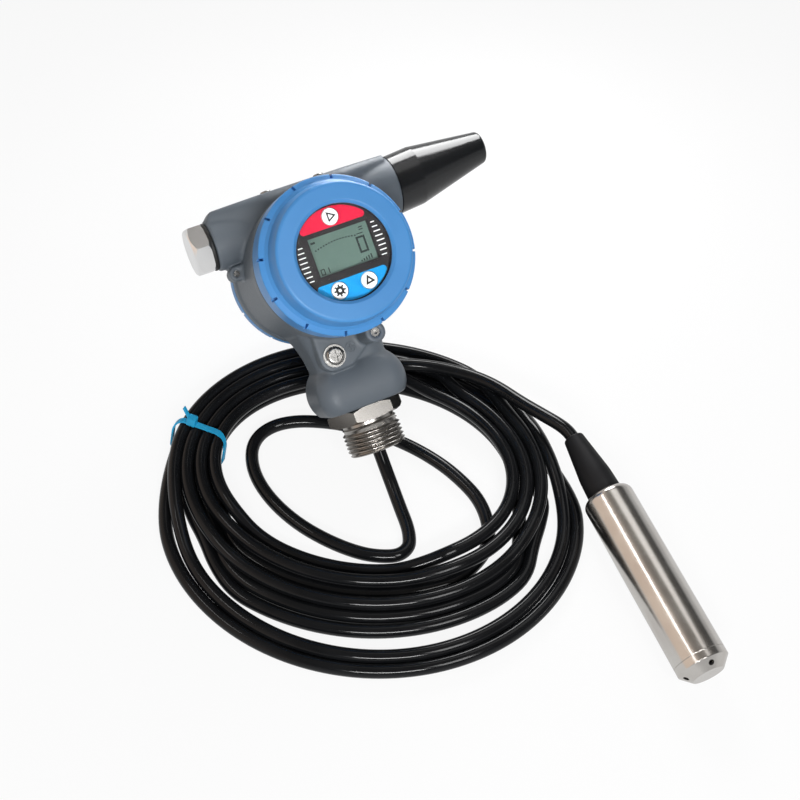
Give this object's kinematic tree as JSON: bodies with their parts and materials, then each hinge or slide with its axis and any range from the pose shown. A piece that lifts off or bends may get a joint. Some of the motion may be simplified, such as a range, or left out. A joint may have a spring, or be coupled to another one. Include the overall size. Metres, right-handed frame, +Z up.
{
  "type": "submersible level transmitter",
  "caption": "Field housing with a round display window, conduit hubs and a threaded process connector, joined by a coiled cable to a slim cylindrical level probe.",
  "frame": {"origin": "on the floor, under the middle of the box of housing and probe", "axes": "+Z up, +Y away from the picture's viewer, +X to the viewer's right"},
  "size_m": [0.2994, 0.295, 0.1646],
  "materials": {
    "housing_grey": "fine-textured grey powder coat",
    "cover_blue": "satin blue enamel",
    "window": "clear, polished",
    "retainer_black": "matte",
    "seal_rubber": "moulded",
    "panel_film": "printed film with colour fields",
    "lcd_glass": "reflective grey-green display",
    "key_white": "matte with dark marks",
    "board_green": "solder mask",
    "electronics_case": "matte",
    "post_brass": "turned",
    "terminal_plastic": "moulded",
    "screw_steel": "bright",
    "plug_steel": "milled",
    "boot_black": "semi-gloss",
    "connector_steel": "turned",
    "probe_steel": "polished",
    "capsule_steel": "lapped",
    "probe_boot_rubber": "matte",
    "cable_black": "glossy sheath",
    "tie_blue": "moulded"
  },
  "bodies": {
    "transmitter": {"housing": "housing_grey", "display_can": "retainer_black", "plug_oring": "seal_rubber", "cable_seal": "seal_rubber", "sensor_oring": "seal_rubber", "probe_seal": "seal_rubber", "display_faceplate": "panel_film", "lcd_module": "lcd_glass", "display_board": "board_green", "probe_board": "board_green", "electronics_can": "electronics_case", "mounting_posts": "post_brass", "terminal_block": "terminal_plastic", "terminal_screws": "screw_steel", "ground_screw": "screw_steel", "ground_washer": "screw_steel", "cover_lock_screw": "screw_steel", "top_screws": "screw_steel", "lug_screw": "screw_steel", "blanking_plug": "plug_steel", "cable_entry_boot": "boot_black", "process_connector": "connector_steel", "probe_tube": "probe_steel", "probe_nose_cap": "probe_steel", "sensor_capsule": "capsule_steel", "probe_boot": "probe_boot_rubber", "cable_lead": "cable_black", "cable_coil": "cable_black", "cable_tail": "cable_black", "cable_tie": "tie_blue"},
    "front_seal": {"front_cover_oring": "seal_rubber"},
    "front_cover": {"front_cover": "cover_blue", "window_glass": "window", "window_retainer": "retainer_black"},
    "rear_seal": {"rear_cover_oring": "seal_rubber"},
    "rear_cover": {"rear_cover": "cover_blue"},
    "key_up": {"key_up": "key_white"},
    "key_set": {"key_set": "key_white"},
    "key_shift": {"key_shift": "key_white"}
  },
  "joints": [
    {"name": "front_cover_travel", "type": "slide", "parent": "transmitter", "child": "front_seal", "axis": [0.2804, -0.5736, 0.7696], "range_m": [0, 0.012]},
    {"name": "front_cover_turn", "type": "hinge", "parent": "front_seal", "child": "front_cover", "pos_m": [-0.0714, 0.06528, 0.0842], "axis": [0.2804, -0.5736, 0.7696], "range_deg": [0, 2160]},
    {"name": "rear_cover_travel", "type": "slide", "parent": "transmitter", "child": "rear_seal", "axis": [-0.2804, 0.5736, -0.7696], "range_m": [0, 0.012]},
    {"name": "rear_cover_turn", "type": "hinge", "parent": "rear_seal", "child": "rear_cover", "pos_m": [-0.0714, 0.06528, 0.0842], "axis": [-0.2804, 0.5736, -0.7696], "range_deg": [0, 2160]},
    {"name": "key_up_press", "type": "slide", "parent": "transmitter", "child": "key_up", "axis": [-0.2804, 0.5736, -0.7696], "range_m": [0, 0.0004], "stiffness_N_per_m": 1500},
    {"name": "key_set_press", "type": "slide", "parent": "transmitter", "child": "key_set", "axis": [-0.2804, 0.5736, -0.7696], "range_m": [0, 0.0004], "stiffness_N_per_m": 1500},
    {"name": "key_shift_press", "type": "slide", "parent": "transmitter", "child": "key_shift", "axis": [-0.2804, 0.5736, -0.7696], "range_m": [0, 0.0004], "stiffness_N_per_m": 1500}
  ],
  "couplings": [
    {"joint": "front_cover_travel", "follows": "front_cover_turn", "m_per_rad": 0.0003183},
    {"joint": "rear_cover_travel", "follows": "rear_cover_turn", "m_per_rad": 0.0003183}
  ]
}
